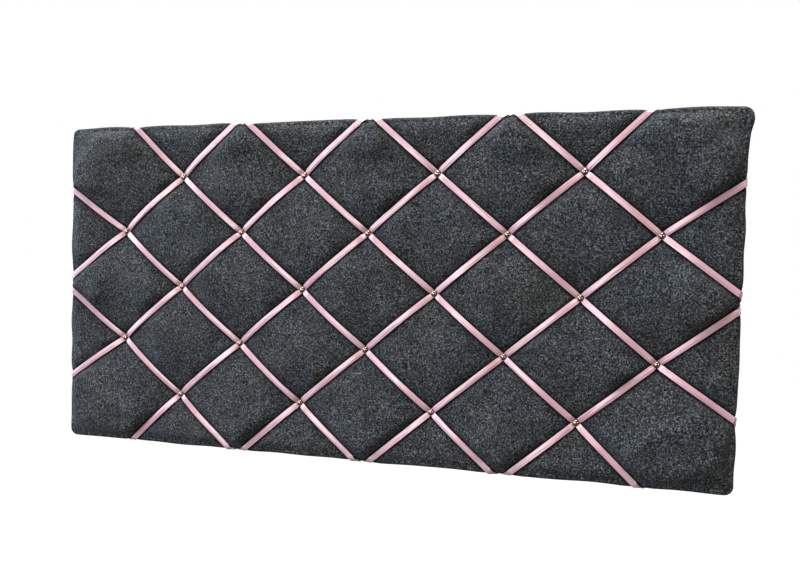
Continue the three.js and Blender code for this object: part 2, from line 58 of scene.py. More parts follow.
COLUMN_PITCH = 0.075
ROW_PITCH = 0.0625
COLUMNS_FROM_CENTRE = 4
ROWS_FROM_CENTRE = 2
PINS = [
    (i, j)
    for j in range(ROWS_FROM_CENTRE, -ROWS_FROM_CENTRE - 1, -1)
    for i in range(-COLUMNS_FROM_CENTRE, COLUMNS_FROM_CENTRE + 1)
    if (i + j) % 2
]
PITCH = np.array([COLUMN_PITCH, ROW_PITCH])
PIN_PLAN = np.array(PINS) * PITCH

PIN_LEVEL = 0.0167  # of the felt under a tack
ARCH_RISE = 0.007  # of the felt halfway between two tacks
TUFT_POWER = 0.3  # the lower, the steeper the felt rises from a tack
UNEVEN_RISE = 0.0007
EDGE_RISE = 0.0065
EDGE_BLEND = 0.045
SEAT_RADIUS = 0.0024  # where a tack presses the felt flat
SEAT_FADE = 0.0050
CORNER_RADIUS = 0.009  # of the outline
FRONT_ROUND = 0.004
BACK_ROUND = 0.003
EDGE_WOBBLE = 0.0006
CORNER_BULGE = 0.0042  # of the upper right corner, which is stuffed fuller
BULGE_DROP = 0.011  # of the bulge's middle, from the top
BULGE_REACH = 0.010
CROWN_PUFF = 0.0080  # by which the wadding swells the felt between ribbons
HELD_REACH = 0.0018  # from a ribbon's middle line, where it holds the swelling felt
SAME_SIDE = 0.9  # least cosine between ways outwards on one side of the board
FELT_THICKNESS = 0.002
FELT_MARGIN = 0.055
MITRE_SHARE = 0.9  # of a round corner's depth, which the folded margin takes up

RIBBON_WIDTH = 0.006
RIBBON_THICKNESS = 0.0004
RIBBON_PRESS = 0.0006  # by which a ribbon sinks into the felt
RIBBON_CROWN = 0.0004  # of its middle over its edges
SELVEDGE = 0.8  # where it begins, in half widths
TACK_LIFT = {"rising": 0.0004, "falling": 0.0011}  # of a ribbon's middle, where two cross under a tack
EDGE_LIFT = {"rising": 0.0007, "falling": 0.0012}  # and where two cross on the board's edge
SPAN_LIFT = 0.0009
TAIL_LIFT = 0.0006
TACK_REACH = 0.015  # along a ribbon, from a tack's lift to its span's
EDGE_REACH = 0.010  # the same from the edge
GROOVE_SHELF = 0.0013  # felt pressed down beside a ribbon
GROOVE_FADE = 0.0045
EDGE_DRAW = 0.0045  # from where two ribbons would meet on the edge to where each passes it
CORNER_DRAW = 0.0110  # the same next to a corner, where one passes alone
TAIL_LENGTH = 0.029
TAIL_FIXED = 4  # the point of a tail that a staple holds, counted from its end
CROWN_STAND = 0.0006  # of that staple's crown behind the tail's middle line
EDGE_PINCH = 0.0015  # by which a ribbon draws the edge in
PINCH_WIDTH = 0.007

TACK_RADIUS = 0.0036
TACK_HEIGHT = 0.0026
TACK_HOLD = 0.0026  # along a ribbon, to where it comes out under the head
RIM_LEVEL = 0.0181  # of a tack's rim, which beds into the ribbons
RIBBON_ROLL = math.radians(4)
ROLL_REACH = 0.006  # in front of the panel, to where a ribbon rolls fully
GATHERED = 0.84  # of a ribbon's width, under a tack
GATHER_REACH = 0.0035


def joined(*columns):
    """Columns side by side, as points."""
    return np.stack(columns, axis=-1)


def ease(share):
    share = np.clip(share, 0, 1)
    return share * share * (3 - 2 * share)


# Camera

eye = bpy.data.objects.new("camera", bpy.data.cameras.new("camera"))
bpy.context.collection.objects.link(eye)
eye.data.sensor_width = 36
eye.data.lens = 36.855
eye.data.shift_y = 0.0464
looking = Vector((-0.2898, 0.9559, -0.0479)).normalized()
rightwards = looking.cross(Vector((-0.0387, 0.0383, 0.9985))).normalized()
upwards = rightwards.cross(looking)
eye.matrix_world = Matrix.Translation((0.2903, -0.8495, 0.0130)) @ Matrix(
    (rightwards, upwards, -looking)
).transposed().to_4x4()
eye.data.clip_start = 0.01
bpy.context.scene.camera = eye
bpy.context.scene.view_settings.view_transform = "Standard"


# Nodes

def feed(tree, node, values):
    """Sets a node's inputs to values or to other nodes' outputs."""
    for name, value in values.items():
        if isinstance(value, bpy.types.NodeSocket):
            tree.links.new(value, node.inputs[name])
        else:
            node.inputs[name].default_value = value


def put(tree, kind, values=None, **settings):
    """A node with its settings and its inputs."""
    node = tree.nodes.new(kind)
    for name, value in settings.items():
        setattr(node, name, value)
    feed(tree, node, values or {})
    return node


def object_place(tree):
    return put(tree, "ShaderNodeTexCoord").outputs["Object"]


def noise(tree, place, scale, detail, **more):
    values = {"Vector": place, "Scale": scale, "Detail": detail, **more}
    return put(tree, "ShaderNodeTexNoise", values).outputs["Fac"]


def parts(tree, vector):
    return put(tree, "ShaderNodeSeparateXYZ", {0: vector}).outputs


def reckon(tree, operation, *values):
    return put(tree, "ShaderNodeMath", dict(enumerate(values)), operation=operation).outputs[0]


def blended(tree, share, first, second, kind="MIX"):
    values = {0: share, 6: first, 7: second}
    return put(tree, "ShaderNodeMix", values, data_type="RGBA", blend_type=kind).outputs[2]


def graded(tree, value, stops):
    """Colours along a value from 0 to 1."""
    node = put(tree, "ShaderNodeValToRGB", {"Fac": value})
    band = node.color_ramp.elements
    while len(band) < len(stops):
        band.new(0.5)
    for element, (place, colour) in zip(band, stops):
        element.position = place
        element.color = (*colour, 1)
    return node.outputs["Color"]


def spread(tree, value, low, high, to_low=0.0, to_high=1.0):
    values = {"Value": value, "From Min": low, "From Max": high, "To Min": to_low, "To Max": to_high}
    return put(tree, "ShaderNodeMapRange", values).outputs["Result"]


def socket(tree, label, way, kind):
    return tree.interface.new_socket(label, in_out=way, socket_type=f"NodeSocket{kind}")


def shader_group(name, inputs, outputs):
    tree = bpy.data.node_groups.new(name, "ShaderNodeTree")
    for label, value in inputs.items():
        socket(tree, label, "INPUT", "Float").default_value = value
    for label in outputs:
        socket(tree, label, "OUTPUT", "Float")
    return tree, put(tree, "NodeGroupInput").outputs, put(tree, "NodeGroupOutput")


# Felt, wadding, backing card and fibreboard are matted fibre: cloudy tone, and strands in three directions.
fibres, given, asked = shader_group(
    "matted_fibres", {"Grain": 0.003, "Strand": 0.0008, "Length": 5.0}, ["Tone", "Strands", "Height"]
)
place = object_place(fibres)
cloud = noise(fibres, place, reckon(fibres, "DIVIDE", 1.0, given["Grain"]), 2.5, Roughness=0.55)
strand_scale = reckon(fibres, "DIVIDE", 1.0, given["Strand"])
long_scale = reckon(fibres, "DIVIDE", strand_scale, given["Length"])
stretch = put(fibres, "ShaderNodeCombineXYZ", {"X": long_scale, "Y": long_scale, "Z": strand_scale})
strands = None
for turn in (0.35, 1.45, 2.5):
    turned = put(fibres, "ShaderNodeVectorRotate", {"Vector": place, "Angle": turn}, rotation_type="Y_AXIS")
    values = {0: turned.outputs[0], 1: stretch.outputs[0]}
    drawn = put(fibres, "ShaderNodeVectorMath", values, operation="MULTIPLY").outputs[0]
    mask = spread(fibres, noise(fibres, drawn, 1.0, 1.0, Distortion=0.4), 0.57, 0.69)
    strands = mask if strands is None else reckon(fibres, "MAXIMUM", strands, mask)
height = reckon(fibres, "MULTIPLY_ADD", strands, 0.5, cloud)
feed(fibres, asked, {"Tone": cloud, "Strands": strands, "Height": height})

# Brass and zinc show smudges and hairline scratches.
handling, given, asked = shader_group("handling_marks", {"Size": 0.004}, ["Smudge", "Scratch"])
place = object_place(handling)
scale = reckon(handling, "DIVIDE", 1.0, given["Size"])
smudge = spread(handling, noise(handling, place, scale, 3.0), 0.35, 0.7)
stretch = put(handling, "ShaderNodeVectorMath", {0: place, 1: (1.0, 1.0, 14.0)}, operation="MULTIPLY")
scratch = noise(handling, stretch.outputs[0], scale, 2.0, Distortion=0.8)
feed(handling, asked, {"Smudge": smudge, "Scratch": scratch})


def finish(name):
    """A new material, its tree and its shader."""
    made = bpy.data.materials.new(name)
    made.use_nodes = True
    return made, made.node_tree, made.node_tree.nodes["Principled BSDF"]


def relief(tree, shader, height, depth, strength=1.0):
    bump = put(tree, "ShaderNodeBump", {"Height": height, "Distance": depth, "Strength": strength})
    feed(tree, shader, {"Normal": bump.outputs[0]})


def fibrous(name, sizes, stops, flecks=None, *, roughness, depth, strength):
    """A material of matted fibres, with its tree, shader and colour."""
    made, tree, shader = finish(name)
    values = dict(zip(("Grain", "Strand", "Length"), sizes))
    fibre = put(tree, "ShaderNodeGroup", values, node_tree=fibres).outputs
    colour = graded(tree, fibre["Tone"], stops)
    if flecks:
        share, fleck = flecks
        colour = blended(tree, reckon(tree, "MULTIPLY", fibre["Strands"], share), colour, fleck)
    feed(tree, shader, {"Base Color": colour, "Roughness": roughness})
    relief(tree, shader, fibre["Height"], depth, strength)
    return made, tree, shader, colour


def metal(name, size, stops, roughness, depth, strength):
    """A handled metal, with its tree, shader and colour."""
    made, tree, shader = finish(name)
    marks = put(tree, "ShaderNodeGroup", {"Size": size}, node_tree=handling).outputs
    colour = graded(tree, marks["Smudge"], stops)
    rough = spread(tree, marks["Smudge"], 0.0, 1.0, *roughness)
    feed(tree, shader, {"Base Color": colour, "Roughness": rough, "Metallic": 1.0})
    relief(tree, shader, marks["Scratch"], depth, strength)
    return made, tree, shader, colour


# Felt: blots and batches of wool, with painted shade that darkens it beside the ribbons, and a painted
# contact shadow along their edges.
grey_felt, tree, shader, flecked = fibrous("grey_felt", (0.0016, 0.0006, 10.0), [
    (0.36, (0.0013, 0.0015, 0.0018)), (0.455, (0.0083, 0.0094, 0.0108)),
    (0.545, (0.0388, 0.0418, 0.0466)), (0.65, (0.204, 0.216, 0.234)),
], (0.5, (0.14, 0.143, 0.149, 1)), roughness=0.95, depth=0.0008, strength=0.6)
place = object_place(tree)
blots = spread(tree, noise(tree, place, 45.0, 2.0), 0.42, 0.70, 0.0, 0.35)
mottled = blended(tree, blots, flecked, (0.010, 0.0103, 0.011, 1))
batches = graded(tree, noise(tree, place, 17.0, 3.0), [
    (0.38, (0.89, 0.945, 0.99)), (0.5, (0.97, 0.972, 0.965)), (0.62, (1.0, 0.985, 0.925)),
])
dyed = blended(tree, 1.0, mottled, batches, "MULTIPLY")
beside = put(tree, "ShaderNodeAttribute", attribute_name="beside").outputs["Fac"]
# Painted shade: the felt darkens towards each ribbon, fading out 15 mm from its middle line.
painted_shade_beside_ribbons = spread(tree, beside, RIBBON_WIDTH / 2, 0.015, 0.34, 0.0)
# Painted contact shadow: a near-black band along both edges of each ribbon, fading out 3.4 mm past them.
pressed = spread(tree, beside, RIBBON_WIDTH / 2 + 0.0008, RIBBON_WIDTH / 2 + 0.0034, 0.9, 0.0)
shaded = blended(tree, painted_shade_beside_ribbons, dyed, (0.006, 0.0064, 0.0072, 1))
feed(tree, shader, {
    "Base Color": blended(tree, pressed, shaded, (0.004, 0.0034, 0.0036, 1)), "Specular IOR Level": 0.15,
    "Sheen Weight": 0.1, "Sheen Roughness": 0.5, "Sheen Tint": (0.68, 0.76, 0.88, 1),
})

white_wadding = fibrous("white_wadding", (0.006, 0.0006, 12.0), [
    (0.3, (0.62, 0.60, 0.56)), (0.7, (0.86, 0.85, 0.82)),
], roughness=1.0, depth=0.001, strength=0.7)[0]
raw_fibreboard = fibrous("raw_fibreboard", (0.002, 0.0005, 7.0), [
    (0.3, (0.27, 0.16, 0.07)), (0.7, (0.46, 0.30, 0.15)),
], (0.4, (0.6, 0.45, 0.27, 1)), roughness=0.85, depth=0.0003, strength=0.5)[0]
grey_card = fibrous("grey_card", (0.0016, 0.0003, 9.0), [
    (0.3, (0.19, 0.178, 0.165)), (0.7, (0.285, 0.268, 0.25)),
], (0.35, (0.42, 0.40, 0.37, 1)), roughness=0.9, depth=0.0002, strength=0.4)[0]

# Satin: threads run along the ribbon, and a thicker selvedge closes both edges.
pink_satin, tree, shader = finish("pink_satin")
across, along, _ = parts(tree, put(tree, "ShaderNodeUVMap", uv_map="UVMap").outputs[0])


def satin_noise(per_half_width, per_metre, detail):
    scaled = [reckon(tree, "MULTIPLY", across, per_half_width), reckon(tree, "MULTIPLY", along, per_metre)]
    return noise(tree, put(tree, "ShaderNodeCombineXYZ", dict(enumerate(scaled))).outputs[0], 1.0, detail)


dyed = graded(tree, noise(tree, object_place(tree), 26.0, 2.0), [
    (0.32, (0.73, 0.385, 0.455)), (0.68, (0.81, 0.465, 0.535)),
])
threads = satin_noise(22.0, 90.0, 2.0)
# Paler threads: partly the yarn's own tone, partly painted sheen along the ribbon.
threads_and_painted_sheen = blended(tree, spread(tree, threads, 0.45, 0.75, 0.0, 0.45), dyed, (0.80, 0.58, 0.65, 1))
selvedge = spread(tree, reckon(tree, "ABSOLUTE", across), SELVEDGE, 0.92)
edged = blended(tree, reckon(tree, "MULTIPLY", selvedge, 0.55), threads_and_painted_sheen, (0.55, 0.25, 0.32, 1))
tangent = put(tree, "ShaderNodeTangent", direction_type="UV_MAP", uv_map="UVMap")
feed(tree, shader, {
    "Base Color": edged, "Roughness": spread(tree, threads, 0.3, 0.7, 0.22, 0.34),
    "Tangent": tangent.outputs[0],
    "IOR": 1.8, "Specular IOR Level": 1.0, "Anisotropic": 0.6,
    "Sheen Weight": 0.15, "Sheen Roughness": 0.35, "Sheen Tint": (1.0, 0.86, 0.88, 1),
})
picks = reckon(tree, "SINE", reckon(tree, "MULTIPLY", along, 9000.0))
weave = reckon(tree, "MULTIPLY_ADD", picks, reckon(tree, "MULTIPLY_ADD", selvedge, 0.3, 0.05), threads)
puckers = satin_noise(1.6, 30.0, 1.0)
relief(tree, shader, reckon(tree, "MULTIPLY_ADD", puckers, 12.0, weave), 0.00006)

# Brass: darker near the rim, partly a patina and partly painted shade standing in for the dark ring round
# each dome.
tack_brass, tree, shader, gold = metal("tack_brass", 0.0016, [
    (0.0, (0.38, 0.265, 0.185)), (1.0, (0.57, 0.445, 0.335)),
], (0.13, 0.24), 0.00003, 0.1)
# Near-black patina and painted shade towards the rim, gold towards the top.
rim_patina_and_shade = spread(tree, parts(tree, object_place(tree))["Y"], -RIM_LEVEL - 0.0009, -RIM_LEVEL - 0.0022)
feed(tree, shader, {"Base Color": blended(tree, rim_patina_and_shade, (0.07, 0.036, 0.022, 1), gold)})

zinc_steel = metal("zinc_steel", 0.003, [
    (0.0, (0.47, 0.49, 0.50)), (1.0, (0.63, 0.645, 0.65)),
], (0.28, 0.45), 0.00004, 0.35)[0]


# The felt's shape

chance = np.random.default_rng(11)
SWELLS = [
    (chance.uniform(0.07, 0.2), chance.uniform(0, math.pi), chance.uniform(0, 2 * math.pi)) for _ in range(7)
]
WOBBLES = [(chance.uniform(0.05, 0.22), chance.uniform(0, 2 * math.pi)) for _ in range(5)]


def unevenness(x, z):
    """Slow ups and downs of hand-laid wadding, from about -1 to 1."""
    waves = [
        np.sin(2 * np.pi * (x * math.cos(turn) + z * math.sin(turn)) / length + start)
        for length, turn, start in SWELLS
    ]
    return sum(waves) / 3


def wobble(distance):
    """The same along an edge."""
    return sum(np.sin(2 * np.pi * distance / length + start) for length, start in WOBBLES) / 2.5


def between(x, z, xs, zs, values):
    """A grid's values at points between its lines."""
    across = np.clip((x - xs[0]) / (xs[1] - xs[0]), 0, len(xs) - 1.001)
    upward = np.clip((z - zs[0]) / (zs[1] - zs[0]), 0, len(zs) - 1.001)
    i, k = across.astype(int), upward.astype(int)
    u, v = across - i, upward - k
    low = values[i, k] * (1 - u) + values[i + 1, k] * u
    high = values[i, k + 1] * (1 - u) + values[i + 1, k + 1] * u
    return low * (1 - v) + high * v


def tuft_wave(x, z):
    return 1 + np.cos(np.pi * x / COLUMN_PITCH) * np.cos(np.pi * z / ROW_PITCH)


def pillow_level(x, z):
    """Forward level of the felt as the wadding and the tacks shape it."""
    x, z = np.asarray(x, float), np.asarray(z, float)
    pillow = ARCH_RISE * np.maximum(tuft_wave(x, z), 0) ** TUFT_POWER + UNEVEN_RISE * unevenness(x, z)
    from_edge = np.minimum(HALF_WIDTH - np.abs(x), HALF_HEIGHT - np.abs(z))
    rise = EDGE_RISE + (pillow - EDGE_RISE) * ease(from_edge / EDGE_BLEND)
    nearest = np.min(np.hypot(x[..., None] - PIN_PLAN[:, 0], z[..., None] - PIN_PLAN[:, 1]), axis=-1)
    return PIN_LEVEL + rise * ease((nearest - SEAT_RADIUS) / SEAT_FADE)


def edge_lengths(top):
    """Lengths of the front round, the side and the back round, below a border level."""
    return FRONT_ROUND * math.pi / 2, top - FRONT_ROUND - FELT_BACK - BACK_ROUND, BACK_ROUND * math.pi / 2


def edge_section(run, top):
    """Round the edge from the front's border: distance outwards, forward level, and the angle faced, which
    goes from a quarter turn, to the front, to minus a quarter turn, to the back."""
    front, side, back = edge_lengths(top)
    first = np.clip(run / front, 0, 1) * np.pi / 2
    second = np.clip((run - front - side) / back, 0, 1) * np.pi / 2
    down = np.clip(run - front, 0, side)
    behind = np.maximum(run - front - side - back, 0)
    out = FRONT_ROUND * np.sin(first) - BACK_ROUND * (1 - np.cos(second)) - behind
    level = top - FRONT_ROUND * (1 - np.cos(first)) - down - BACK_ROUND * np.sin(second)
    return out, level, np.pi / 2 - first - second


# Ribbons' routes

def left_of(course):
    return np.array([-course[1], course[0]])


def taut(run, level):
    """The line of a strip drawn tight over a course of levels."""
    kept = []
    for point in zip(run, level):
        while len(kept) > 1:
            (a, low), (b, middle) = kept[-2:]
            if middle > low + (point[1] - low) * (b - a) / (point[0] - a):
                break
            kept.pop()
        kept.append(point)
    return np.interp(run, *np.array(kept).T)


def ribbon_end(pin, step_x, step_z):
    """How a ribbon leaves the front after its last tack and goes on round the edge."""
    i, j = pin[0] + step_x, pin[1] + step_z
    over_side = abs(i * COLUMN_PITCH) / HALF_WIDTH > abs(j * ROW_PITCH) / HALF_HEIGHT
    alone = abs(i) + abs(j) > COLUMNS_FROM_CENTRE + ROWS_FROM_CENTRE
    draw = CORNER_DRAW if alone else EDGE_DRAW
    if over_side:
        outward, along = np.array([step_x, 0.0]), np.array([0.0, step_z])
        edge = np.array([step_x * HALF_WIDTH, j * ROW_PITCH - step_z * draw])
    else:
        outward, along = np.array([0.0, step_z]), np.array([step_x, 0.0])
        edge = np.array([i * COLUMN_PITCH - step_x * draw, step_z * HALF_HEIGHT])
    start = pin * PITCH
    flat = (edge - start) @ outward - FRONT_ROUND
    drift = (edge - start) @ along
    slant = drift / (flat + FRONT_ROUND * math.pi / 2)
    border = start + outward * flat + along * slant * flat
    return {"outward": outward, "along": along, "slant": slant, "border": border}


def ribbon_front(start, stop, from_tack, to_tack):
    """A ribbon's run between two tacks or from a tack to the border, straight seen from the front."""
    length = np.hypot(*(stop - start))
    course = (stop - start) / length
    first = TACK_HOLD if from_tack else 0.0
    last = length - TACK_HOLD if to_tack else length
    run = np.linspace(first, last, max(8, int(length / 0.002)))
    middle = start + run[:, None] * course
    aside = left_of(course) * RIBBON_WIDTH / 2
    under = np.mean([pillow_level(*(middle + aside * side).T) for side in (-1, 0, 1)], axis=0)
    level = under - RIBBON_PRESS
    if from_tack:
        level[0] = PIN_LEVEL
    if to_tack:
        level[-1] = PIN_LEVEL
    return {"start": start, "course": course, "length": length, "run": run, "middle": middle,
            "level": taut(run, level), "from_tack": from_tack, "to_tack": to_tack}


class Ribbon:
    """One ribbon: its runs over the front and its two ends."""

    def __init__(self, slope, number, line):
        self.slope, self.number = slope, number
        step = 1 if slope == "rising" else -1
        pins = [pin * PITCH for pin in line]
        self.ends = [ribbon_end(line[0], -1, -step), ribbon_end(line[-1], 1, step)]
        self.fronts = [ribbon_front(self.ends[0]["border"], pins[0], False, True)]
        self.fronts += [ribbon_front(start, stop, True, True) for start, stop in zip(pins, pins[1:])]
        self.fronts.append(ribbon_front(pins[-1], self.ends[1]["border"], True, False))


def lattice_lines(step):
    lines = {}
    for i, j in PINS:
        lines.setdefault(i - step * j, []).append((i, j))
    return [sorted(lines[key]) for key in sorted(lines)]


RIBBONS = [
    Ribbon(slope, number + 1, line)
    for slope, step in (("rising", 1), ("falling", -1))
    for number, line in enumerate(lattice_lines(step))
]
FRONTS = [front for ribbon in RIBBONS for front in ribbon.fronts]
ENDS = [end for ribbon in RIBBONS for end in ribbon.ends]


def from_ribbons(x, z):
    """Distance of points on the front from the nearest ribbon's middle line."""
    nearest = np.full(np.shape(x), np.inf)
    for front in FRONTS:
        off = joined(x - front["start"][0], z - front["start"][1])
        run = np.clip(off @ front["course"], 0, front["length"])
        nearest = np.minimum(nearest, np.linalg.norm(off - run[..., None] * front["course"], axis=-1))
    return nearest


def swelling():
    """How far the wadding pushes the felt out: a sheet held by ribbons, tacks and edges is blown up as cloth.
    Its threads lie so that the ribbons cross it from knot to knot."""
    knots, moments, crown_percentile, most = 14, 20, 92, 1.25
    columns = int((HALF_WIDTH - FRONT_ROUND) * knots / COLUMN_PITCH)
    rows = int((HALF_HEIGHT - FRONT_ROUND) * knots / ROW_PITCH)
    xs = np.arange(-columns, columns + 1) * COLUMN_PITCH / knots
    zs = np.arange(-rows, rows + 1) * ROW_PITCH / knots
    grid_x, grid_z = np.meshgrid(xs, zs, indexing="ij")
    flat_x, flat_z = grid_x.ravel(), grid_z.ravel()
    level = pillow_level(flat_x, flat_z)
    faces, _ = skin_faces(len(xs), len(zs), [], 0)
    sheet = piece("swelling", mesh_of("swelling", joined(flat_x, -level, flat_z), faces))
    edge = (np.abs(flat_x) > xs[-1] - 1e-6) | (np.abs(flat_z) > zs[-1] - 1e-6)
    held = sheet.vertex_groups.new(name="held")
    pinned = np.flatnonzero(edge | (from_ribbons(flat_x, flat_z) < HELD_REACH))
    held.add([int(n) for n in pinned], 1.0, "REPLACE")
    cloth = sheet.modifiers.new("cloth", "CLOTH")
    cloth.settings.vertex_group_mass = "held"
    cloth.settings.use_pressure = True
    cloth.settings.uniform_pressure_force = 4.0
    cloth.settings.effector_weights.gravity = 0.0
    cloth.settings.quality = 6
    cloth.point_cache.frame_end = moments
    scene = bpy.context.scene
    for moment in range(1, moments + 1):
        scene.frame_set(moment)
    seen = sheet.evaluated_get(bpy.context.evaluated_depsgraph_get())
    places = np.empty(3 * len(flat_x))
    seen.data.vertices.foreach_get("co", places)
    rise = np.clip(-places.reshape(-1, 3)[:, 1] - level, 0, None)
    scene.frame_set(1)
    bpy.data.objects.remove(sheet)
    rise = rise * CROWN_PUFF / np.percentile(rise, crown_percentile)
    return xs, zs, np.minimum(rise, most * CROWN_PUFF).reshape(grid_x.shape)


def felt_level(x, z):
    """The swollen pillows, with a groove under each ribbon."""
    x, z = np.asarray(x, float), np.asarray(z, float)
    plain = pillow_level(x, z) + between(x, z, *SWELLING)
    level = plain.copy()
    reach = RIBBON_WIDTH / 2 + GROOVE_SHELF + GROOVE_FADE
    for front in FRONTS:
        off = joined(x - front["start"][0], z - front["start"][1])
        run, aside = off @ front["course"], np.abs(off @ left_of(front["course"]))
        near = (run > 0) & (run < front["length"]) & (aside < reach)
        floor = np.interp(run[near], front["run"], front["level"])
        share = 1 - ease((aside[near] - RIBBON_WIDTH / 2 - GROOVE_SHELF) / GROOVE_FADE)
        pressed = plain[near] + share * (np.minimum(plain[near], floor) - plain[near])
        level[near] = np.minimum(level[near], pressed)
    return level


def edge_give(x, z, outward, run, front_length):
    """How far the felt stands out of its even edge: uneven wadding, a full corner, and the ribbons' pinch."""
    x, z, run = (np.asarray(value, float) for value in (x, z, run))
    give = EDGE_WOBBLE * wobble(x + 1.7 * z)
    bulge = np.exp(-((z - HALF_HEIGHT + BULGE_DROP) / BULGE_REACH) ** 2)
    give = give + CORNER_BULGE * bulge * np.clip(outward[..., 0], 0, 1) ** 1.5
    for end in ENDS:
        same = outward @ end["outward"] > SAME_SIDE
        gone = (joined(x, z) - end["border"]) @ end["along"]
        aside = (gone - end["slant"] * np.minimum(run, 2 * front_length)) / PINCH_WIDTH
        give = give - same * EDGE_PINCH * np.exp(-aside ** 2)
    return give


def from_ends(border, outward, run):
    """Distance of points round the edge from the nearest ribbon's middle line."""
    nearest = np.full(len(border), np.inf)
    for end in ENDS:
        gone = (border - end["border"]) @ end["along"]
        aside = np.abs(gone - end["slant"] * run) / math.hypot(1, end["slant"])
        nearest = np.where(outward @ end["outward"] > SAME_SIDE, np.minimum(nearest, aside), nearest)
    return np.minimum(nearest, 1.0)


def edge_skin(border, outward, top, run):
    """Points of the felt round the edge, and the way it faces there, each (n, 3)."""
    out, level, facing = edge_section(run, top)
    front, side, back = edge_lengths(top)
    give = edge_give(border[:, 0], border[:, 1], outward, run, front)
    give = give * ease(run / (0.7 * front)) * (1 - ease((run - front - side) / (3 * back)))
    sideways = outward * np.cos(facing)[:, None]
    normal = joined(sideways[:, 0], -np.sin(facing), sideways[:, 1])
    plan = border + outward * out[:, None]
    point = joined(plan[:, 0], -level, plan[:, 1])
    return point + normal * give[:, None], normal


# Meshes

def piece(name, mesh, material=None):
    made = bpy.data.objects.new(name, mesh)
    bpy.context.collection.objects.link(made)
    if material:
        mesh.materials.clear()
        mesh.materials.append(material)
    return made


def mesh_of(name, points, faces=(), edges=()):
    mesh = bpy.data.meshes.new(name)
    mesh.from_pydata([tuple(map(float, point)) for point in points], edges, faces)
    return mesh


def point_layer(mesh, name, kind, values):
    layer = mesh.attributes.new(name, kind, "POINT")
    layer.data.foreach_set("value" if kind == "FLOAT" else "vector", np.asarray(values, float).ravel())


def settled(thing):
    """The object with its modifiers turned into plain mesh."""
    seen = bpy.context.evaluated_depsgraph_get()
    mesh = bpy.data.meshes.new_from_object(
        thing.evaluated_get(seen), preserve_all_data_layers=True, depsgraph=seen
    )
    thing.modifiers.clear()
    thing.data = mesh
    return thing


def smooth(thing, degrees=180):
    thing.data.polygons.foreach_set("use_smooth", [True] * len(thing.data.polygons))
    if degrees < 180:
        thing.data.set_sharp_from_angle(angle=math.radians(degrees))
    return thing


def grid_lines(half, pitch, step, crowding):
    """Lines across the front, closer together where tacks stand and at the border's corners."""
    even = np.arange(-half - pitch, half + pitch, step)
    lines = even - crowding * pitch / (2 * np.pi) * np.sin(2 * np.pi * even / pitch)
    corner_steps = np.array([0.0, 0.0007, 0.0015, 0.0026, 0.004])
    ends, room = half - corner_steps, 0.006
    lines = lines[np.abs(lines) < half - room]
    return np.sort(np.concatenate([-ends, lines, ends]))


def front_lines(step, crowding):
    return (grid_lines(HALF_WIDTH - FRONT_ROUND, COLUMN_PITCH, step, crowding),
            grid_lines(HALF_HEIGHT - FRONT_ROUND, ROW_PITCH, step, crowding))


def past_corner(plan):
    """How far points reach into the corners of the front's border, which are round."""
    straight = np.array([HALF_WIDTH, HALF_HEIGHT]) - CORNER_RADIUS
    return np.sign(plan) * np.maximum(np.abs(plan) - straight, 0)


def rounded(plan):
    """Points of the front, moved from square corners into round ones."""
    past = past_corner(plan)
    reach = np.maximum(np.linalg.norm(past, axis=-1), 1e-9)
    return plan + past * (np.max(np.abs(past), axis=-1) / reach - 1)[..., None] * (reach > 1e-8)[..., None]


def border_loop(xs, zs):
    """The grid's border, anticlockwise from its lower left: indices, plan, ways outwards, and room to
    the corner."""
    nx, nz = len(xs), len(zs)
    loop = [(i, 0) for i in range(nx - 1)] + [(nx - 1, k) for k in range(nz - 1)]
    loop += [(i, nz - 1) for i in range(nx - 1, 0, -1)] + [(0, k) for k in range(nz - 1, 0, -1)]
    plan = np.array([(xs[i], zs[k]) for i, k in loop])
    room = joined(xs[-1] - np.abs(plan[:, 0]), zs[-1] - np.abs(plan[:, 1]))
    past = past_corner(plan)
    outward = past / np.linalg.norm(past, axis=1)[:, None]
    return [i * nz + k for i, k in loop], rounded(plan), outward, np.max(room, axis=1)


def skin_faces(nx, nz, loop, rows):
    faces = [
        (i * nz + k, (i + 1) * nz + k, (i + 1) * nz + k + 1, i * nz + k + 1)
        for i in range(nx - 1) for k in range(nz - 1)
    ]
    rings = [loop] + [[nx * nz + row * len(loop) + n for n in range(len(loop))] for row in range(rows)]
    for inner, outer in zip(rings, rings[1:]):
        for n in range(len(loop)):
            m = (n + 1) % len(loop)
            faces.append((inner[n], outer[n], outer[m], inner[m]))
    return faces, rings


def front_plan(xs, zs):
    return rounded(np.stack(np.meshgrid(xs, zs, indexing="ij"), axis=-1).reshape(-1, 2)).T


